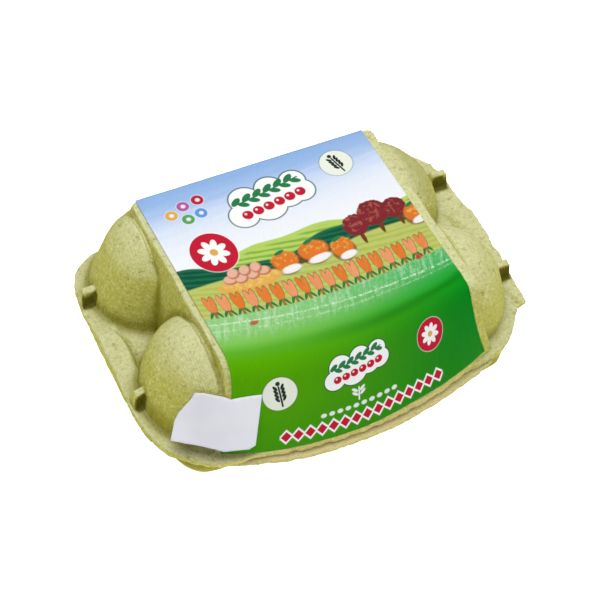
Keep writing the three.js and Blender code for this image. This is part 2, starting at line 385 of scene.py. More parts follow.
# How far a place lies outside the plateau's side edge.
def outsidePlateau(x, y):
    wander = 0.22 * noise(y, x * 0.2, 7, 3) + 0.1 * noise(y, x * 0.2, 2.4, 4)
    return np.abs(x - lid["across"]) - lid["halfWidth"] - flareAt(panelDown(x, y)) + wander


def plateauAt(x, y):
    beside = outsidePlateau(x, y)
    profile = plateauProfile(x, y, beside)
    return softMin(profile, profile - beside * lid["sideSlope"], lid["softSide"])


def domeAt(x, y, atX, atY, wide, deep, high):
    spread = ((x - atX) / wide) ** 2 + ((y - atY) / deep) ** 2
    crown = high * np.sqrt(np.maximum(1 - spread, 0))
    wall = (1 + lid["domeDraft"] - np.sqrt(spread)) * deep * lid["domeSlope"]
    return softMin(crown, wall, lid["softDome"])


def domesAt(x, y):
    height = np.full(np.shape(x), farBelow)
    for dome in lid["domes"]:
        height = softMax(height, domeAt(x, y, *dome), lid["softDome"])
    height = softMin(height, lid["height"] + 0.2, lid["softDome"])
    under = np.minimum(-outsidePlateau(x, y), lid["rear"] - y)
    return height - np.maximum(under, 0) * lid["domeTuck"]


# How far a place lies behind a lug's front face, and along it from its middle.
def lugFrame(x, y, atX, atY, turn):
    dx, dy = x - atX, y - atY
    return (dy * math.cos(turn) - dx * math.sin(turn),
            dx * math.cos(turn) + dy * math.sin(turn))


def lugAt(x, y):
    height = np.full(np.shape(x), farBelow)
    for index, place in enumerate(lug["places"]):
        deep, off = lugFrame(x, y, *place)
        deep = deep + lug["bend"] * noise(x, y * 0, 3, 11 + index)
        off = off * math.copysign(1, place[0])
        front = deep * lug["frontSlope"]
        back = lug["height"] - (deep - lug["top"]) * (lug["height"] / lug["back"])
        outer = (lug["half"] - off) * lug["outerSlope"]
        inner = (lug["half"] + lug["reach"] + off) * lug["innerSlope"]
        top = lug["height"] + lug["rough"] * noise(x, y, 2.6, 15)
        top = top + lug["topSlope"] * np.maximum(-off, 0)
        soft = lug["soft"]
        box = softMin(softMin(front, back, soft), softMin(outer, inner, 0.6), soft)
        height = np.maximum(height, softMin(box, top, soft))
    return height


# The painted shade on and below each lug's front face, added to the painted shade of the
# hollows.
def lugShade(x, y):
    shade = np.zeros(np.shape(x))
    for place in lug["places"]:
        deep, off = lugFrame(x, y, *place)
        below = ease(deep, -2.6, -0.4) * (1 - ease(deep, 0.8, 1.1))
        shade = shade + lug["shade"] * below * (1 - ease(np.abs(off), 2.4, 3.8))
    return shade


# A low pad on each end flange: (x, y, half width, half depth)
pad = {"places": ((-71.2, 6.3, 6.2, 13.5), (71, 6, 5.5, 13)), "height": 2.2, "power": 4}


def padAt(x, y):
    away = np.full(np.shape(x), 1.5)
    for atX, atY, wide, deep in pad["places"]:
        away = np.minimum(away, np.maximum(np.abs(x - atX) / wide, np.abs(y - atY) / deep))
    return pad["height"] * (1 - away ** pad["power"])


# Marks of the mould and of handling: (line, width, height)
marks = (
    (((-73, 7), (-70.7, 2.8)), 0.35, -0.5),
    (((-71.4, 8.2), (-69.8, 6.6)), 0.35, -0.4),
    (((-68.4, 14.7), (-66.4, 11), (-66.4, 4.9), (-68.6, -2.1)), 1.0, 0.55),
    (((-66.5, 14.7), (-64.4, 10.5), (-64.3, 4.5), (-66, -3)), 0.8, -0.9),
    (((-63.7, 5.3), (-60.6, 5)), 0.7, 1.0),
    (((-63.4, 6.9), (-60.4, 6.4)), 0.5, -0.8),
    (((-67.9, 28.4), (-66.8, 27.5)), 0.8, 0.9),
    (((76, 41.8), (72.9, 42.5)), 1.0, 0.9),
    (((72.9, 42.5), (70, 38)), 0.7, 0.6),
    (((66, 3), (70, -8)), 0.8, -0.5),
    (((68, 12), (72, 0)), 0.7, 0.5),
    (((69, -20), (71, -27)), 0.9, 0.6),
    (((67, -20), (69.4, -29)), 0.7, -0.5),
)


def lidAt(x, y):
    height = softMax(domesAt(x, y), 0, lid["softFlange"])
    outside = outsidePlateau(x, y)
    close = ease(height, 17, 28)
    groove = close * np.exp(-((outside - lid["grooveAt"]) / lid["grooveWide"]) ** 2)
    height = softMax(height, plateauAt(x, y), 1.0) - lid["grooveDeep"] * groove
    height = softMax(height, padAt(x, y), 0.8)
    height = softMax(height, lugAt(x, y), 0.5)
    for line, width, rise in marks:
        height = height + strand(x, y, line, width, rise)
    return height + relief(x, y, ((0.16, 4.2, 21), (0.1, 1.9, 22), (0.05, 0.9, 23)))


tray = {
    "pitch": (46.5, 47.0), "middle": (0.0, 2.5), "foot": 7.0, "cup": 24.0,
    "wallCurve": 1.4, "floorCurve": 0.8,
    "web": 9.0, "webInset": 9.0,
}


def rimDistance(x, y):
    along, across, reach = rimShape(y > 0)
    spread = np.abs(x / rim["halfLength"]) ** along + np.abs(y / reach) ** across
    return np.minimum(rim["halfLength"], reach) * (1 - spread ** (1 / across))


def trayAt(x, y):
    depth = np.zeros(np.shape(x))
    for column in (-1, 0, 1):
        for row in (-0.5, 0.5):
            dx = np.abs(x - tray["middle"][0] - column * tray["pitch"][0])
            dy = np.abs(y - tray["middle"][1] - row * tray["pitch"][1])
            away = np.cbrt(dx ** 3 + dy ** 3)
            wall = np.clip((away - tray["foot"]) / (tray["cup"] - tray["foot"]), 0, 1)
            cup = (1 - wall ** tray["wallCurve"]) ** tray["floorCurve"]
            depth = softMax(depth, shift[2] * cup, 2)
    edge = rimDistance(x, y)
    web = tray["web"] * ease(edge, tray["webInset"] * 0.6, tray["webInset"] * 1.6)
    depth = softMax(depth, web, 3)
    rough = relief(x, y, ((0.18, 4.6, 31), (0.1, 2.1, 32)))
    return np.minimum(depth + rough * ease(depth, 2, 8), shift[2])


# The carton's mesh: spokes from the plateau to the rim, and rings along them.

shell = {
    "corners": ((60, 56), (-64, 51), (-60, -46), (52, -45)),
    "spokes": (120, 200, 220, 210),
    "inner": (-47.0, 38.8, 40.3),  # left, right and rear edge of the covered core
    "centre": (-4.1, 4.0), "coreRings": 7, "rings": 92, "trayRings": 84, "outlineSteps": 14400,
    "levelShare": 0.6, "evenFrom": 58, "evenOver": 6,
}


# The rim's outline in small steps, whose lengths count for more by the lugs and the tear.
def outlineTable():
    angle = np.linspace(0, 2 * math.pi, shell["outlineSteps"] + 1)[:-1]
    x, y = rimPoint(angle, 0)
    step = np.hypot(np.diff(x, append=x[0]), np.diff(y, append=y[0]))
    crowd = np.ones(len(x))
    for atX, atY, _ in lug["places"]:
        crowd += 3.5 * np.exp(-((y - atY) / 1.1) ** 2) * (x * atX > 4000)  # on its own end
    crowd += 2.0 * np.exp(-((y + 27.8) / 1.8) ** 2) * (x > 50)  # the torn point
    return angle, x, y, step * crowd


def spokeEnds():
    angle, x, y, length = outlineTable()
    along = np.concatenate([[0], np.cumsum(length)])
    at = [int(np.argmin(np.hypot(x - cx, y - cy))) for cx, cy in shell["corners"]]
    left, right, rear = shell["inner"]
    core = ((right, rear), (left, rear), (left, foldAt(left)), (right, foldAt(right)))
    angles, inner = [], []
    for side in range(4):
        first, last = at[side], at[(side + 1) % 4]
        span = along[last] - along[first] + (along[-1] if last < first else 0)
        share = np.arange(shell["spokes"][side]) / shell["spokes"][side]
        goal = (along[first] + share * span) % along[-1]
        spokeAngle = np.interp(goal, along, np.append(angle, 2 * math.pi))
        angles.append(spokeAngle)
        ox, oy = rimPoint(spokeAngle, 0)
        a, b = np.array(core[side]), np.array(core[(side + 1) % 4])
        px, py = rimPoint(angle[first], 0), rimPoint(angle[last], 0)
        if side % 2:
            part = (oy - px[1]) / (py[1] - px[1])
        else:
            part = (ox - px[0]) / (py[0] - px[0])
        part = np.clip(part, 0, 1)[:, None]
        points = a * (1 - part) + b * part
        if side == 2:
            points[:, 1] = foldAt(points[:, 0])
        inner.append(points)
    return np.concatenate(angles), np.concatenate(inner)


def frontShare(angle):
    return ease(-np.sin(angle), *rim["frontSpan"])


def strayOut(x, y):
    left = np.interp(y, *zip(*strayLeft)) * (x < -40)
    right = np.interp(y, *zip(*strayRight)) * (x > 40)
    rough = 0.12 + 0.25 * ease(x, 60, 70) * ease(-np.abs(y - 2), -24, -10)
    rough = rough + 0.12 * ease(-y, 30, 50)
    fray = noise(x, y, 3.1, 41) * rough * 1.5 + noise(x, y, 1.1, 42) * rough
    return left + right + fray


# Insets of the lid's and the tray's edge behind the rim's outline.
def edgeInsets(angle):
    front = frontShare(angle)
    x, y = rimPoint(angle, 0)
    stray = strayOut(x, y)
    lidEdge = rim["setback"] * front - stray
    ends = rim["overhang"] * np.cos(angle) ** 2 * (1 - front)
    degrees = np.degrees(angle)
    most, middle, wide = rim["tuck"]
    tuck = most * np.exp(-((degrees - middle) / wide) ** 2)
    ragged = relief(x, y, ((0.25, 2.6, 43), (0.15, 0.9, 44)))
    trayEdge = rim["setback"] * front + ends - rim["lip"] * front + tuck + ragged
    under = lidEdge + 0.35 * (1 - front)
    return lidEdge, np.where(front < 0.3, np.maximum(trayEdge, under), trayEdge)


# Steps round the two flanges from the lid's top down to the tray's underside:
# (which edge, inwards, down from the flange's own top)
edgeSteps = (
    ("lid", 0.50, 0.10), ("lid", 0.18, 0.32), ("lid", 0.02, 0.70), ("lid", 0.0, 1.1),
    ("lid", 0.05, 1.65), ("lid", 0.2, 2.1), ("lid", 0.5, 2.35), ("lid", 1.4, 2.42),
    ("seam", 1.9, 2.5), ("seam", 1.9, 2.65),
    ("tray", 1.2, 2.75), ("tray", 0.4, 2.8), ("tray", 0.12, 3.05), ("tray", 0.0, 3.5),
    ("tray", 0.05, 4.0), ("tray", 0.4, 4.45), ("tray", 0.9, 4.6),
)


def edgeRings(angle, topHeight):
    lidEdge, trayEdge = edgeInsets(angle)
    front = frontShare(angle)
    x, y = rimPoint(angle, 0)
    hinge = ease(-np.abs(x), -rim["hingeHalf"] - 3, -rim["hingeHalf"] + 1) * (y > 20)
    warp = relief(x, y, ((0.3, 26, 51), (0.15, 9, 52)))
    rings = []
    for which, inwards, down in edgeSteps:
        if which == "tray":
            inset = trayEdge + inwards
        else:
            inset = lidEdge + inwards * (1 - 0.8 * front * (inwards > 1))
        bulge = rim["hingeBulge"] * math.sin(math.pi * min(down / rim["depth"], 1))
        inset = inset * (1 - hinge) + (0.4 - bulge) * hinge
        px, py = rimPoint(angle, inset)
        settle = min(down / rim["lidDepth"], 1)
        pz = topHeight * (1 - settle) - down + warp * (0.4 + 0.6 * settle)
        rings.append((px, py, pz + 0.08 * noise(px, py, 1.4, 53 + int(down * 9))))
    return rings


def gridFaces(rows, columns, wrap):
    index = np.arange(rows * columns).reshape(rows, columns)
    if wrap:
        index = np.concatenate([index, index[:, :1]], axis=1)
    a, b = index[:-1, :-1], index[:-1, 1:]
    c, d = index[1:, 1:], index[1:, :-1]
    return np.stack([a, b, c, d], axis=-1).reshape(-1, 4)


def buildMesh(name, points, quads, triangles, material, attributes):
    mesh = bpy.data.meshes.new(name)
    mesh.vertices.add(len(points))
    mesh.vertices.foreach_set("co", np.asarray(points, np.float32).ravel())
    loops = np.concatenate([np.ravel(quads), np.ravel(triangles)]).astype(np.int32)
    mesh.loops.add(len(loops))
    mesh.loops.foreach_set("vertex_index", loops)
    starts = np.concatenate([
        np.arange(len(quads)) * 4,
        len(quads) * 4 + np.arange(len(triangles)) * 3,
    ]).astype(np.int32)
    mesh.polygons.add(len(starts))
    mesh.polygons.foreach_set("loop_start", starts)
    mesh.polygons.foreach_set("use_smooth", np.ones(len(starts), bool))
    mesh.update(calc_edges=True)
    mesh.validate()
    for key, kind, values in attributes:
        field = "vector" if kind == "FLOAT_VECTOR" else "value"
        layer = mesh.attributes.new(key, kind, "POINT")
        layer.data.foreach_set(field, np.asarray(values, np.float32).ravel())
    mesh.materials.append(material)
    return addObject(name, mesh)


# The value of a table at a place, where grid names its left and front edge and its pitch.
def readTable(table, grid, x, y):
    u = np.clip((x - grid["left"]) / grid["pitch"], 0, table.shape[0] - 1.01)
    v = np.clip((y - grid["front"]) / grid["pitch"], 0, table.shape[1] - 1.01)
    i, j = u.astype(int), v.astype(int)
    fu, fv = u - i, v - j
    low = table[i, j] * (1 - fu) + table[i + 1, j] * fu
    high = table[i, j + 1] * (1 - fu) + table[i + 1, j + 1] * fu
    return low * (1 - fv) + high * fv


def blur(field, reach):
    kernel = np.exp(-0.5 * (np.arange(-2 * reach, 2 * reach + 1) / reach) ** 2)
    kernel /= kernel.sum()
    border = 2 * reach
    grown = np.pad(field, border, mode="edge")
    rows = np.apply_along_axis(np.convolve, 0, grown, kernel, "same")
    both = np.apply_along_axis(np.convolve, 1, rows, kernel, "same")
    return both[border:-border, border:-border]


# Painted shade for hollows, creases and the feet of walls, from blurs of the lid's height:
# (reach, weight)
hollow = {
    "left": -84.0, "front": -70.0, "pitch": 0.6,
    "blurs": ((2, 0.8), (6, 0.36), (14, 0.08)), "range": (-0.6, 3.6),
}


# Painted shade for the hollows: how much lower the lid lies at a place than around it, on a
# coarse grid.
def paintedShadeTable():
    gx = np.arange(hollow["left"], -hollow["left"], hollow["pitch"])
    gy = np.arange(hollow["front"], -hollow["front"], hollow["pitch"])
    field = lidAt(*np.meshgrid(gx, gy, indexing="ij"))
    total = np.zeros(field.shape)
    for reach, weight in hollow["blurs"]:
        total += np.clip(blur(field, reach) - field, *hollow["range"]) * weight
    return total


# How much of the painted shade in the hollows is left on the front lip and on the right end.
def bareAt(x, y, z):
    lip = 1 - 0.85 * ease(-y, 34, 44) * (1 - ease(z, 2, 6))
    rear = 1 - 0.5 * ease(x, 50, 56) * ease(y, 2, 8) * (1 - ease(z, 10, 16))
    front = 1 - 0.65 * ease(x, 52, 60) * ease(-y, 4, 12) * (1 - ease(z, 8, 14))
    return lip * rear * front


# Painted shade: a touch more of the deep colour on two of the domes' outer sides, to darken
# them.
def domeShadeAt(x, y, z):
    rear = 1.7 * ease(z, 8, 14) * ease(x, 46, 54) * ease(y, 12, 20)
    front = 1.4 * ease(z, 2, 6) * ease(-x, 48, 56) * ease(-y, 14, 24) * (1 - ease(z, 20, 27))
    return rear + front


def buildCarton(material):
    angle, inner = spokeEnds()
    count = len(angle)
    lidEdge, _ = edgeInsets(angle)
    ex, ey = rimPoint(angle, lidEdge + 0.9)
    middleX, middleY = shell["centre"]
    xs, ys = [], []
    for ring in range(1, shell["coreRings"] + 1):
        share = ring / shell["coreRings"]
        xs.append(middleX + (inner[:, 0] - middleX) * share)
        ys.append(middleY + (inner[:, 1] - middleY) * share)
    for ring in range(1, shell["rings"] + 1):
        share = ring / shell["rings"]
        level = ease(share, 0, shell["levelShare"])
        even = np.clip((np.abs(ex) - shell["evenFrom"]) / shell["evenOver"], 0, 1)
        across = share * (1 - even) + level * even
        xs.append(inner[:, 0] + (ex - inner[:, 0]) * share)
        ys.append(inner[:, 1] + (ey - inner[:, 1]) * across)
    zs = [lidAt(x, y) for x, y in zip(xs, ys)]
    # Painted shade for the lid: from the hollows, held back in places, with more on two domes'
    # sides and on the lugs' faces.
    table = paintedShadeTable()
    shades = []
    for x, y, z in zip(xs, ys, zs):
        shade = readTable(table, hollow, x, y) * bareAt(x, y, z) + domeShadeAt(x, y, z)
        shades.append(shade + lugShade(x, y) * (1 - ease(z, 5.2, 6.2)))
    for x, y, z in edgeRings(angle, zs[-1]):
        xs.append(x)
        ys.append(y)
        zs.append(z)
    # Painted shade on the edge rings: darker where tucked in by the seam, except at the front,
    # and darker on the lower steps, darkest on the lowest.
    for _, inwards, down in edgeSteps:
        shade = 0.4 * (down > 1.6) + 2.4 * (down > 3.6)
        shades.append(1.2 - 1.2 * frontShare(angle) if inwards > 1 else np.full(count, shade))
    bx, by, base = xs[-1], ys[-1], zs[-1]
    lowX, lowY = tray["middle"]
    for ring in range(1, shell["trayRings"]):
        share = 1 - ring / shell["trayRings"]
        x = lowX + (bx - lowX) * share
        y = lowY + (by - lowY) * share
        depth = trayAt(x, y)
        outer = ease(share, 0.75, 1.0)
        under = base * outer - rim["depth"] * (1 - outer)
        xs.append(x)
        ys.append(y)
        zs.append(np.maximum(softMin(under, -depth, 1.0), -shift[2]))
        # Painted shade on the tray: darker where it is shallow, under the rim.
        shades.append(1.4 + 3.2 * ease(-depth, -24, -4))
    points = toRow(np.array(xs), np.array(ys), np.array(zs))
    rings = len(xs)
    ends = np.array([(middleX, middleY, lid["height"]), (lowX, lowY, -tray["web"])])
    points = np.concatenate([points, toRow(*ends.T)])
    quads = gridFaces(rings, count, True)[:, ::-1]
    one = np.arange(count)
    two = (one + 1) % count
    last = (rings - 1) * count
    caps = np.concatenate([
        np.stack([np.full(count, rings * count), one, two], -1),
        np.stack([np.full(count, rings * count + 1), last + two, last + one], -1),
    ])
    shades = np.concatenate([np.array(shades).ravel(), [0, 0]])
    piece = buildMesh("moulded_shell", points, quads, caps, material,
                      [("hollow", "FLOAT", shades)])
    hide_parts("carton")
    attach(piece, "root")


# Pulp: matt and fibrous, with the weave of the mould's screen, in mm.

# The palest colour, on faces turned up, is painted light.
pulp = {
    # deep and dark are painted shade colours.
    "paintedLitTop": tint("c2c291"), "body": tint("adab50"), "deep": tint("7e7812"),
    "dark": tint("423c00"), "fleck": tint("d6d49c"), "speck": tint("7c7626"),
    "tan": tint("d2be84"), "broad": 38, "fine": 900, "flake": 420, "sway": 60,
    "weave": 0.85, "rough": 0.95,
}


def pulpMaterial():
    material, wires = newMaterial("mouldedPulp")
    where = wires.node("TexCoord", None, None, out=3)
    shade = wires.node("Attribute", {"attribute_name": "hollow"}, None, out=2)
    broad = grain(wires, where, pulp["broad"], 3, 0.6)
    fine = grain(wires, where, pulp["fine"], 4, 0.7)
    flake = grain(wires, where, pulp["flake"], 2, 0.6)
    # Painted light: faces that turn upwards take the paler colour, the rest the body colour.
    upward = wires.node("NewGeometry", None, None, out=1).part(2) + (broad - 0.5) * 0.5
    color = upward.rise(0.25, 1.0).pick(pulp["body"], pulp["paintedLitTop"])
    x, y, z = (where.part(index) for index in range(3))
    color = color.under((
        (pulp["fleck"], fine.rise(0.5, 0.7) * 0.6),
        (pulp["speck"], fine.rise(0.5, 0.3) * 0.4),
        (pulp["speck"], flake.rise(0.58, 0.74) * 0.5),
        (pulp["tan"], y.rise(-0.044, -0.054) * 0.5),
        # Painted shade: the shade attribute darkens the pulp towards the deep and then the dark
        # colour.
        (pulp["deep"], shade.rise(0.2, 2.8) * 0.75),
        (pulp["dark"], shade.rise(2.6, 5.5) * 0.75),
    ))
    turn = 2 * math.pi / (pulp["weave"] / 1000)
    sway = grain(wires, where, pulp["sway"], 2, 0.5) * 0.0016
    screen = ((x + sway) * turn).sine() + ((y + z * 0.4 + sway) * turn).sine()
    height = screen * 0.1 + fine * 0.9 + flake * 0.45
    finishMaterial(wires, {
        "Base Color": color, "Roughness": pulp["rough"], "Specular IOR Level": 0.06,
        "Normal": height.bump(0.75, 0.0006),
    })
    return material


buildCarton(pulpMaterial())
print("carton built")


# The label: a printed paper sleeve over the top and front.

sleeve = {
    "across": -4.1, "topHalf": 43.9, "rear": 43.3, "footGap": 0.25, "lift": 0.35, "thick": 0.22,
    "columns": 240, "rows": 260, "rounds": 12,
    # folds in the paper: (line, width, height)
    "folds": (
        (((-50, -21.5), (-20, -24.4), (10, -26.6), (42, -28.6)), 0.8, 0.22),
        (((-30, -26.5), (0, -29.5), (42, -32)), 1.2, -0.18),
    ),
}


def sleeveSurface(x, y):
    height = plateauProfile(x, y, -lid["halfWidth"])
    for fold in sleeve["folds"]:
        height = height + strand(x, y, *fold)
    return height + relief(x, y, ((0.12, 11, 61), (0.05, 3.5, 62)))


def sleeveGrid():
    across = np.linspace(-1, 1, sleeve["columns"] + 1)
    along = np.linspace(0, 1, sleeve["rows"] + 1)
    p, t = np.meshgrid(across, along, indexing="ij")
    x = sleeve["across"] + p * sleeve["topHalf"]
    for _ in range(sleeve["rounds"]):
        foot = panelFoot(x) + sleeve["footGap"] + 0.6 * ease(x, -10, 20)
        y = sleeve["rear"] + (foot - sleeve["rear"]) * t
        x = sleeve["across"] + p * (sleeve["topHalf"] + flareAt(panelDown(x, y)))
    return p, t, x, y


# Faces of a sheet with two sides and a wall round its edge.
def sheetFaces(rows, columns):
    count = rows * columns
    upper = gridFaces(rows, columns, False)
    lower = upper[:, ::-1] + count
    index = np.arange(count).reshape(rows, columns)
    loop = np.concatenate([index[0, :-1], index[:-1, -1], index[-1, :0:-1], index[:0:-1, 0]])
    after = np.roll(loop, -1)
    wall = np.stack([loop, loop + count, after + count, after], -1)
    return np.concatenate([upper, lower, wall])


# A grid of points moved along its normals.
def lifted(points, amount):
    du = np.gradient(points, axis=0)
    dv = np.gradient(points, axis=1)
    normal = np.cross(dv, du)
    normal /= np.linalg.norm(normal, axis=-1, keepdims=True)
    return points + normal * amount[..., None]


def buildLabel(material):
    p, t, x, y = sleeveGrid()
    z = sleeveSurface(x, y)
    droop = 0.15 * ease(np.abs(p), 0.94, 1.0) ** 2
    points = np.stack([x, y, z - droop], -1)
    curl = 0.25 * ease(np.abs(p), 0.97, 1.0) * (0.5 + 0.5 * noise(t * 90, p * 0, 9, 63))
    low = lifted(points, sleeve["lift"] + curl)
    high = lifted(points, sleeve["lift"] + sleeve["thick"] + curl)
    middle = points[sleeve["columns"] // 2]
    steps = np.linalg.norm(np.diff(middle, axis=0), axis=1)
    path = sleeve["rear"] - np.concatenate([[0], np.cumsum(steps)])
    flatX = sleeve["across"] + p * sleeve["topHalf"]
    spot = np.stack([flatX, np.broadcast_to(path, p.shape), np.zeros(p.shape)], -1)
    both = np.concatenate([high.reshape(-1, 3), low.reshape(-1, 3)])
    spots = np.tile(spot.reshape(-1, 3), (2, 1))
    sides = np.repeat([1, 0], p.size)
    quads = sheetFaces(*p.shape)[:, ::-1]
    piece = buildMesh("paper_label", toRow(*both.T), quads, np.zeros((0, 3)), material,
                      [("spot", "FLOAT_VECTOR", spots), ("printed", "FLOAT", sides)])
    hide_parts("label")
    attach(piece, "root")


# A vector of label millimetres seen from a place on it, turned and scaled.
def local(spot, x, y, turn=0.0, half=(1, 1)):
    return spot.node("Mapping", {"vector_type": "TEXTURE"}, {
        "Vector": spot, "Location": (x, y, 0), "Rotation": (0, 0, math.radians(turn)),
        "Scale": (half[0], half[1], 1),
    })


def disc(spot, x, y, radius):
    return awayFrom(spot, x, y).rise(radius + 0.2, radius - 0.2)


def awayFrom(spot, x, y):
    return spot.node("VectorMath", {"operation": "DISTANCE"}, {0: spot, 1: (x, y, 0)}, out=1)


def oval(spot, x, y, turn, half, soft=0.08):
    away = awayFrom(local(spot, x, y, turn, half), 0, 0)
    return away.rise(1 + soft, 1 - soft)


# One motif's own view for two places, the first on the top and the second on the front.
def twice(spot, top, front):
    below = spot.part(1).maths("LESS_THAN", spot.part(1), -35)
    return spot.node("Mix", {"data_type": "VECTOR"},
                     {0: below, 4: local(spot, *top), 5: local(spot, *front)}, out=1)


# The same cell again and again along x: the place within it and its number.
def repeated(spot, pitch, start, low):
    count = (spot.part(0) - start) / pitch
    within = (count.maths("FRACT", count) - 0.5) * pitch
    return within.joined(spot.part(1) - low), count.maths("FLOOR", count)


# A colour as printed on this paper.
def press(code):
    return (*[0.8 * channel for channel in tint(code)[:3]], 1)


ink = {name: press(code) for name, code in {
    "white": "f2f4f2", "cream": "e6ebdc", "leaf": "2c7a4a", "edge": "1c4f3c", "dark": "26332c",
    "red": "c01f36", "berry": "b8253c", "gold": "dca850", "straw": "e3bd6a", "shell": "e2b096",
    "shellDeep": "b9775c", "orange": "d9752c", "peach": "e6a276", "trunk": "6f3d22",
    "tree": "7c2c30", "treeLight": "a5544a", "blue": "5f96d8", "violet": "b05aa0",
    "green": "5c9e58", "scuff": "d8ecd0", "far": "b2cd62", "farDeep": "6fa23c",
    "near": "1f6a4c", "nearDeep": "0f4a34", "field": "b9c168", "fieldDeep": "9cb04c",
}.items()}


# Each motif below gives its layers in turn, as (colour, mask).

# A white cloud with a dark edge, holding a row of leaves and berries.
def drawPlaque(spot):
    puffs = ((-12.5, -3.2, 5.4), (-8.5, 3.6, 6.0), (-2, -2.2, 7.2), (2.6, 4.8, 5.4),
             (7.4, 0.2, 7.0), (12.4, 4.2, 4.8), (13.2, -1.6, 5.0))
    gap = None
    for x, y, radius in puffs:
        away = awayFrom(spot, x, y) - radius
        gap = away if gap is None else gap.least(away)
    yield ink["edge"], gap.rise(1.0, 0.6) * 0.8
    yield ink["white"], gap.rise(0.35, 0.05)
    for index in range(6):
        x = -12.2 + index * 4.7
        up, berry = 0.4 * index, 0.3 * index - 3.4
        yield ink["leaf"], oval(spot, x, 4.2 + up, 34, (2.5, 1.3))
        yield ink["leaf"], oval(spot, x + 2.2, 1.9 + up, -30, (2.3, 1.15))
        yield ink["red"], disc(spot, x + 1.1, berry, 2.15)
        yield ink["white"], disc(spot, x + 0.6, berry + 0.7, 0.5)
    stalk = abs(spot.part(1) - spot.part(0) * 0.085 - 4.0)
    yield ink["leaf"], stalk.rise(0.45, 0.2) * gap.rise(-1.6, -2.2)


# A pale roundel with an ear of wheat.
def drawWheat(spot):
    yield ink["dark"], disc(spot, 0, 0, 6.3) * 0.5
    yield ink["cream"], disc(spot, 0, 0, 6.0)
    across, y = abs(spot.part(0)), spot.part(1)
    halved = across.joined(y)
    ear = disc(halved, 0, 3.9, 0.8)
    for index in range(4):
        ear = ear.most(oval(halved, 1.25, 2.5 - index * 1.45, 58, (1.15, 0.52), 0.15))
    stem = across.rise(0.45, 0.2) * abs(y + 1).rise(4.2, 3.8)
    yield ink["dark"], ear.most(stem)


# A red roundel with a white daisy.
def drawDaisy(spot):
    away = awayFrom(spot, 0, 0)
    angle = spot.part(1).maths("ARCTAN2", spot.part(1), spot.part(0))
    petal = abs((angle * 4).sine())
    yield ink["white"], away.rise(8.6, 8.3) * 0.5
    yield ink["red"], away.rise(8.2, 7.9)
    yield ink["white"], (away - petal * 2.3).rise(3.3, 2.9) * away.rise(1.2, 1.5)
    yield ink["gold"], away.rise(1.5, 1.2)


# A heap of straw with pale ovals resting on it.
def drawHeap(spot, straws):
    yield ink["gold"], oval(spot, 0, -2.4, 2, (11.5, 3.6), 0.12)
    yield ink["straw"], oval(spot, 0.5, -1.8, 2, (10.2, 2.6), 0.15) * straws
    ovals = ((-6, 0.6), (6.2, 1.0), (-2.2, 0.2), (2.2, 0.6), (-4, 3), (0.2, 3.2), (4.2, 3.2))
    for index, (x, y) in enumerate(ovals):
        turn = 12 * index
        yield ink["shellDeep"], oval(spot, x, y - 0.25, turn, (2.4, 2.0))
        yield ink["shell"], oval(spot, x - 0.2, y + 0.15, turn, (2.0, 1.6), 0.2)


# Round dark red trees.
def drawTrees(spot, leaves):
    for x, y, radius in ((17, 2.6, 4.6), (25, 4.8, 5.6), (33, 3.4, 4.4)):
        yield ink["trunk"], oval(spot, x, y - radius - 1.2, 0, (0.8, 3.2), 0.2)
        away = awayFrom(spot, x, y) + leaves * 1.6
        yield ink["tree"], away.rise(radius + 1.2, radius + 0.8)
        yield ink["treeLight"], leaves.rise(0.5, 0.62) * disc(spot, x - 0.8, y + 0.8, radius - 1)


# Pumpkins with a leaf on top, on white straw.
def drawPumpkins(spot, leaves):
    for x, y, wide in ((-12.5, -2.2, 4.6), (-1.5, -1.6, 5.4), (8.2, -4.6, 4.0), (39, -3, 4.4)):
        yield ink["trunk"], oval(spot, x, y - 0.8, 0, (wide + 0.5, 4.6), 0.1) * 0.8
        yield ink["orange"], oval(spot, x, y + 0.8, 0, (wide, 4.2), 0.12)
        yield ink["gold"], leaves.rise(0.52, 0.62) * oval(spot, x, y + 2, 0, (wide, 2.8), 0.3)
        yield ink["white"], oval(spot, x + 0.6, y - 3.2, 4, (wide * 0.8, 1.6), 0.2) * 0.9
        yield ink["leaf"], oval(spot, x - 0.4, y + 4.8, 15, (2.0, 0.8), 0.2)


# A row of tulips across the label where meadow and lawn meet.
def drawTulips(spot, wear):
    x, y = spot.part(0), spot.part(1)
    cell, number = repeated(x.joined(y + 12.6 + 0.045 * (x + 45)), 4.6, -46.0, 0)
    inside = x.rise(-46.2, -45.8) * x.rise(36.6, 36.2)
    stem = abs(cell.part(0)).rise(0.6, 0.4) * abs(cell.part(1) + 1.8).rise(3.6, 3.2)
    yield ink["trunk"], stem * inside * 0.7
    for side in (-1, 1):
        leaf = oval(cell, side * 1.1, -3.4, side * -62, (2.0, 0.5), 0.2)
        yield ink["leaf"], leaf * inside
    head = oval(cell, -0.75, 1.1, 6, (1.15, 4.0)).most(oval(cell, 0.75, 1.1, -6, (1.15, 4.0)))
    yield ink["trunk"], head * inside * 0.8
    bloom = oval(cell, -0.85, 1.1, 6, (0.95, 3.7)).most(oval(cell, 0.7, 1.0, -6, (1.0, 3.7)))
    shade = (number * 2.4).sine().rise(-0.4, 0.6) * 0.6 + wear * 0.3
    yield shade.pick(ink["orange"], ink["peach"]), bloom * inside


def drawSky(spot, streaks):
    height = spot.part(1) + (streaks - 0.5) * 9
    return height.rise(2, 45).ramp(
        (0.0, press("eef0f2")), (0.3, press("e4e9f2")), (0.55, press("d4dff0")),
        (0.75, press("bacdec")), (0.88, press("9dbae2")), (1.0, press("8aaede")))


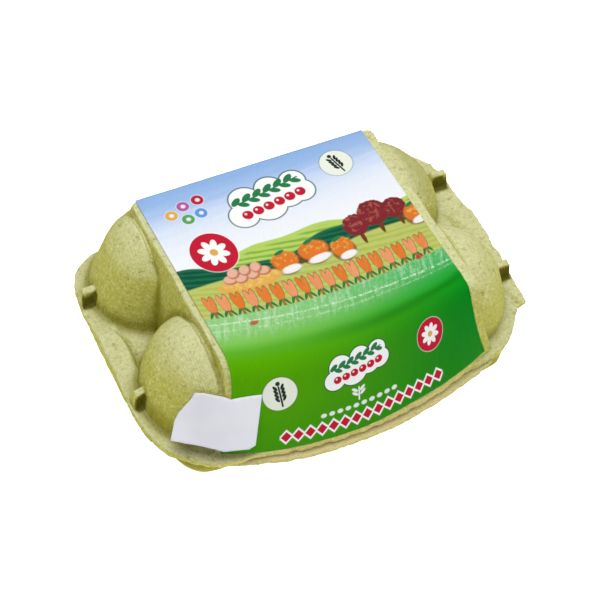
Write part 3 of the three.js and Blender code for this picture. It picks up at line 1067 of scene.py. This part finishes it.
def drawHills(spot, streaks):
    x, y = spot.part(0), spot.part(1)
    far = (x * 0.083 + 2.1).sine() * 2.6 + (x * 0.21).sine() * 0.9 + 7.0
    rows = (y * 2.6 + x * 0.5 + streaks * 6).sine().rise(-0.4, 0.9)
    yield ink["far"], (y - far).rise(0.25, -0.25)
    yield ink["farDeep"], (y - far).rise(-1.2, -2.4) * rows * 0.8
    near = (x * 0.1 + 0.2).sine() * 2.4 + (x * 0.27 + 1).sine() * 0.8 + 3.2
    yield ink["near"], (y - near).rise(0.25, -0.25)
    yield ink["nearDeep"], (y - near).rise(-0.6, -1.6) * (1 - rows) * 0.8
    low = (x * 0.12 - 0.6).sine() * 1.3 - 3.4
    yield ink["field"], (y - low).rise(0.5, -0.5)
    yield ink["fieldDeep"], (y - low).rise(-0.6, -2.0) * rows * 0.6


# The lawn over the fold and the plain green front, yellower to the left.
def drawLawn(spot, streaks, wear):
    x, y = spot.part(0), spot.part(1)
    down = y.node("MapRange", None, {"Value": y, "From Min": -12.0, "From Max": -70.0})
    left = down.ramp(
        (0.0, press("8cc480")), (0.2, press("88c474")), (0.32, press("78bd4c")),
        (0.37, press("5cac26")), (0.43, tint("529c04")), (0.55, tint("4b9202")),
        (0.7, tint("4a9006")), (1.0, tint("3c860c")))
    right = down.ramp(
        (0.0, press("50ac74")), (0.2, press("44b060")), (0.33, press("2ea346")),
        (0.4, press("0e9c26")), (0.47, tint("028018")), (0.6, tint("027618")),
        (0.8, tint("067418")), (1.0, tint("107410")))
    lawn = x.rise(-44, 46).pick(left, right)
    edge = y + 17.6 + 0.05 * (x + 45) + (streaks - 0.5) * 2
    lawn = (wear * y.rise(-31, -24) * 0.5).pick(lawn, ink["scuff"])
    yield lawn, edge.rise(0.6, -0.6)


# A band of white dashes and, nearer the foot, of red diamonds edged in white.
def drawBorder(spot):
    x = spot.part(0)
    dash, _ = repeated(spot, 2.7, -20.0, -61.4)
    middle = x.rise(-20.2, -19.8) * x.rise(7.2, 6.8)
    yield ink["white"], oval(dash, 0, 0, 0, (0.95, 0.8), 0.2) * middle * 0.85
    cell, _ = repeated(spot, 3.7, -32.3, -66.0)
    reach = abs(cell.part(0)) + abs(cell.part(1)) * 0.85
    inside = x.rise(-32.6, -32.2) * x.rise(23.4, 23.0)
    yield ink["white"], reach.rise(2.6, 2.2) * inside
    yield ink["red"], reach.rise(1.75, 1.5) * inside


def drawSprig(spot):
    x, y = spot.part(0), spot.part(1)
    mask = abs(x - y * 0.1).rise(0.35, 0.15) * abs(y).rise(2.6, 2.3)
    for side in (-1, 1):
        for up in (0.2, 1.6):
            mask = mask.most(oval(spot, side * 1.3, up, side * 38, (1.2, 0.5), 0.2))
    yield ink["white"], mask * 0.9


def drawDots(spot):
    dots = ((-39.5, 31, "gold"), (-34.8, 27.4, "green"), (-34.2, 33.6, "violet"),
            (-29.6, 28.6, "blue"), (-28.4, 34.6, "berry"))
    for x, y, name in dots:
        yield ink["white"], disc(spot, x, y, 2.5) * 0.5
        yield ink[name], disc(spot, x, y, 2.2)
        yield ink["white"], disc(spot, x + 0.1, y, 0.85) * 0.8


# Where the motifs lie: (x, y, turn, scale), first on the top and then on the front
layout = {
    "plaque": ((-5.2, 25.6, 4, (0.92, 0.9)), (-6, -47.6, 2, (0.64, 0.62))),
    "wheat": ((24, 31.4, 14), (-32.5, -49.5, 10, (0.95, 1.0))),
    "daisy": ((-33, 10.5, 0, (0.98, 1.1)), (21.9, -50.8, 0, (0.62, 0.72))),
    "heap": (-27, -3.4), "sprig": (-6.4, -57.4), "spots": ((30.5, -20.6), (-33.5, -22.5)),
}


# Two red spots, worn lines on the fold, and a painted shade band across the front below the
# fold.
def drawWearAndShade(spot, streaks, worn):
    for x, y in layout["spots"]:
        yield ink["berry"], oval(spot, x, y, 20, (1.6, 1.0), 0.25) * 0.8
    x, y = spot.part(0), spot.part(1)
    for offset, slope, strength in ((-24.4, -0.085, 0.75), (-27.0, -0.07, 0.3)):
        line = abs(y - offset - slope * x + (streaks - 0.5) * 1.2)
        yield ink["scuff"], line.rise(0.55, 0.15) * worn.rise(0.42, 0.56) * strength
    # Painted shade: a dark green band just below the fold, fading out to the left.
    shadeBand = abs(y + 35.4 + 0.03 * x + (x * 0.09).sine() * 0.5)
    yield tint("0a5a0c"), shadeBand.rise(3.2, 0.0) * x.rise(-34, 16) * 0.5


def labelMaterial():
    material, wires = newMaterial("printedPaper")
    spot = wires.node("Attribute", {"attribute_name": "spot"}, None, out=1)
    side = wires.node("Attribute", {"attribute_name": "printed"}, None, out=2)
    stretched = local(spot, 0, 0, 4, (26, 2.6))
    streaks = grain(wires, stretched, 1.0, 4, 0.6)
    leaves = grain(wires, spot, 0.55, 3, 0.6)
    creased = grain(wires, local(spot, 0, 0, 68, (9, 1.4)), 1.0, 4, 0.65)
    worn = grain(wires, spot, 0.9, 4, 0.75)
    wear = (creased * 0.6 + worn * 0.4).rise(0.44, 0.66)
    color = drawSky(spot, streaks)
    for motif in (
        drawHills(spot, streaks),
        drawTrees(spot, leaves),
        drawPumpkins(spot, leaves),
        drawHeap(local(spot, *layout["heap"]), leaves.rise(0.4, 0.6)),
        drawLawn(spot, streaks, wear),
        drawTulips(spot, wear),
        drawPlaque(twice(spot, *layout["plaque"])),
        drawWheat(twice(spot, *layout["wheat"])),
        drawDaisy(twice(spot, *layout["daisy"])),
        drawDots(spot),
        drawSprig(local(spot, *layout["sprig"])),
        drawBorder(spot),
        drawWearAndShade(spot, streaks, worn),
        [(ink["cream"], 1 - side)],  # the paper's underside
    ):
        color = color.under(motif)
    fine = grain(wires, spot, 6.0, 3, 0.6)
    height = creased + fine * 0.05
    finishMaterial(wires, {
        "Base Color": color, "Roughness": wear * 0.2 + 0.4, "Specular IOR Level": 0.012,
        "Normal": height.bump(0.35, 0.0006),
    })
    return material


buildLabel(labelMaterial())
print("label built")


# The sticker: a blank pale slip, cut to shape.

slip = {
    "outline": (
        (-59.5, -31.7), (-49.5, -37.9), (-39.4, -40.1), (-45.2, -49.3), (-47.6, -49.5),
        (-55.4, -46.9), (-65.3, -39.7), (-69.7, -36.2), (-66.7, -32.6), (-64.9, -31.9),
        (-61.0, -32.1),
    ),
    "left": -74, "right": -34, "front": -56, "rear": -24, "pitch": 0.5,
    "within": ((-70, -38), (-50, -28)),  # the outline's own span in x and y
    "rounds": 500, "lift": 0.9, "thick": 0.25, "step": 0.6, "clear": 0.35, "probe": 0.4,
}


# The slip's height over a grid: it rests on the lid and spans the hollows.
def drapeSlip():
    gx, gy = np.meshgrid(np.arange(slip["left"], slip["right"], slip["pitch"]),
                         np.arange(slip["front"], slip["rear"], slip["pitch"]), indexing="ij")
    ground = softMax(softMax(domesAt(gx, gy), 0, 2.0), plateauAt(gx, gy), 3.0) + slip["lift"]
    height = ground.copy()
    for _ in range(slip["rounds"]):
        grown = np.pad(height, 1, mode="edge")
        around = (grown[:-2, 1:-1] + grown[2:, 1:-1] + grown[1:-1, :-2] + grown[1:-1, 2:]) / 4
        height = np.maximum(ground, around)
    return blur(height, 2)


def buildSlip(material):
    outline = np.array(slip["outline"])
    step, probe = slip["step"], slip["probe"]
    edge = []
    for a, b in zip(outline, np.roll(outline, -1, 0)):
        steps = max(2, int(np.linalg.norm(b - a) / step))
        edge += [a + (b - a) * i / steps for i in range(steps)]
    edge = np.array(edge)
    gx, gy = np.meshgrid(*(np.arange(*span, step) for span in slip["within"]), indexing="ij")
    inside = np.zeros(gx.shape, bool)
    for (ax, ay), (bx, by) in zip(edge, np.roll(edge, -1, 0)):
        crosses = (ay > gy) != (by > gy)
        inside ^= crosses & (gx < (bx - ax) * (gy - ay) / (by - ay + 1e-12) + ax)
    gap = np.full(gx.shape, 1e9)
    for ax, ay in edge:
        gap = np.minimum(gap, np.hypot(gx - ax, gy - ay))
    keep = inside & (gap > slip["clear"])
    loose = np.stack([gx[keep], gy[keep]], -1)
    flat = np.concatenate([edge, loose])
    count = len(edge)
    lines = [(i, (i + 1) % count) for i in range(count)]
    verts, _, faces, *_ = delaunay_2d_cdt([Vector(v) for v in flat], lines, [], 1, 1e-6)
    plan = np.array([(v.x, v.y) for v in verts])
    triangles = np.array(faces)
    a, b, c = (plan[triangles[:, k]] for k in range(3))
    turned = (b - a)[:, 0] * (c - a)[:, 1] - (b - a)[:, 1] * (c - a)[:, 0] < 0
    triangles[turned] = triangles[turned][:, ::-1]
    x, y = plan[:, 0], plan[:, 1]
    table = drapeSlip()
    west, east, south, north, here = (
        readTable(table, slip, x + probe * i, y + probe * j)
        for i, j in ((-1, 0), (1, 0), (0, -1), (0, 1), (0, 0))
    )
    slopeX, slopeY = (east - west) / (2 * probe), (north - south) / (2 * probe)
    normal = np.stack([-slopeX, -slopeY, np.ones(len(x))], -1)
    normal /= np.linalg.norm(normal, axis=1, keepdims=True)
    low = np.stack([x, y, here], -1)
    high = low + normal * slip["thick"]
    total = len(plan)
    order = edgeLoop(triangles)
    wall = np.stack([order, order + total, np.roll(order, -1) + total, np.roll(order, -1)], -1)
    both = np.concatenate([high, low])
    faces = np.concatenate([triangles, triangles[:, ::-1] + total])
    piece = buildMesh("blank_sticker", toRow(*both.T), wall, faces, material, [])
    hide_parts("sticker")
    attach(piece, "root")


# The boundary of a patch of triangles, in order.
def edgeLoop(triangles):
    pairs = {pair: True for a, b, c in triangles for pair in ((a, b), (b, c), (c, a))}
    after = {i: j for i, j in pairs if (j, i) not in pairs}
    first = next(iter(after))
    loop = [first]
    while after[loop[-1]] != first:
        loop.append(after[loop[-1]])
    return np.array(loop)


def slipMaterial():
    material, wires = newMaterial("blankPaper")
    where = wires.node("TexCoord", None, None, out=3)
    cloud = grain(wires, where, 60, 2, 0.5)
    fine = grain(wires, where, 1500, 3, 0.6)
    color = cloud.rise(0.3, 0.7).pick(tint("cacad1"), tint("d3d3da"))
    finishMaterial(wires, {
        "Base Color": color, "Roughness": 0.6, "Normal": fine.bump(0.2, 0.0001),
    })
    return material


buildSlip(slipMaterial())
print("sticker built")


def addFloor():
    material, wires = newMaterial("floor")
    finishMaterial(wires, {
        "Base Color": (0.92, 0.92, 0.92, 1), "Roughness": 0.9, "Specular IOR Level": 0.0,
        "Emission Color": (1, 1, 1, 1), "Emission Strength": studio["floorGlow"],
    })
    mesh = bpy.data.meshes.new("floor")
    half = studio["floorHalf"]
    mesh.from_pydata([(-half, -half, 0), (half, -half, 0), (half, half, 0), (-half, half, 0)],
                     [], [(0, 1, 2, 3)])
    mesh.materials.append(material)
    floor = addObject("floor", mesh)


addFloor()
